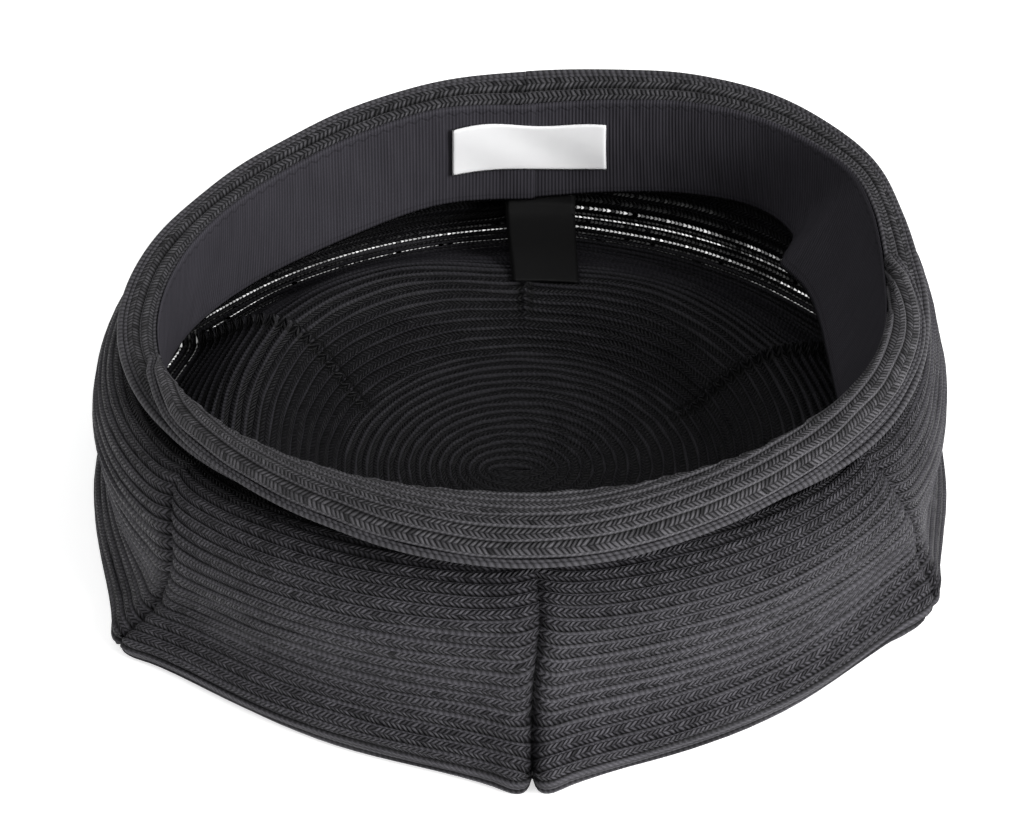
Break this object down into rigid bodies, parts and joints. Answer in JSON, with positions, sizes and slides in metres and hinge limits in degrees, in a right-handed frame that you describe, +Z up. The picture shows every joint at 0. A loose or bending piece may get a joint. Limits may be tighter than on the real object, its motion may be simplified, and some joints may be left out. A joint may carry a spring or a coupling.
{
  "type": "baker boy summer cap",
  "caption": "Full gathered crown of sewn black straw braid with darts, a narrow flared edge, a short turned-over peak and an inner ribbon sweatband, lying upside down.",
  "frame": {"origin": "under the middle of the cap's outline, on the surface that its crown lies on", "axes": "+Z up out of the head opening, -Y towards the peak, +X to the right as seen from the peak's side"},
  "size_m": [0.2198, 0.2398, 0.0684],
  "materials": {
    "straw_braid": "sewn rows of black paper straw braid, soft sheen",
    "straw_edge": "bold herringbone straw braid with smooth edge cords",
    "grosgrain": "charcoal ribbon with fine upright ribs",
    "woven_white": "white woven taffeta, bare",
    "black_satin": "black satin tape, bare"
  },
  "bodies": {
    "root": {"crown": "straw_braid", "brim_edge": "straw_edge", "peak": "straw_edge", "sweatband": "grosgrain", "size_label": "woven_white", "care_label": "black_satin"}
  },
  "joints": []
}
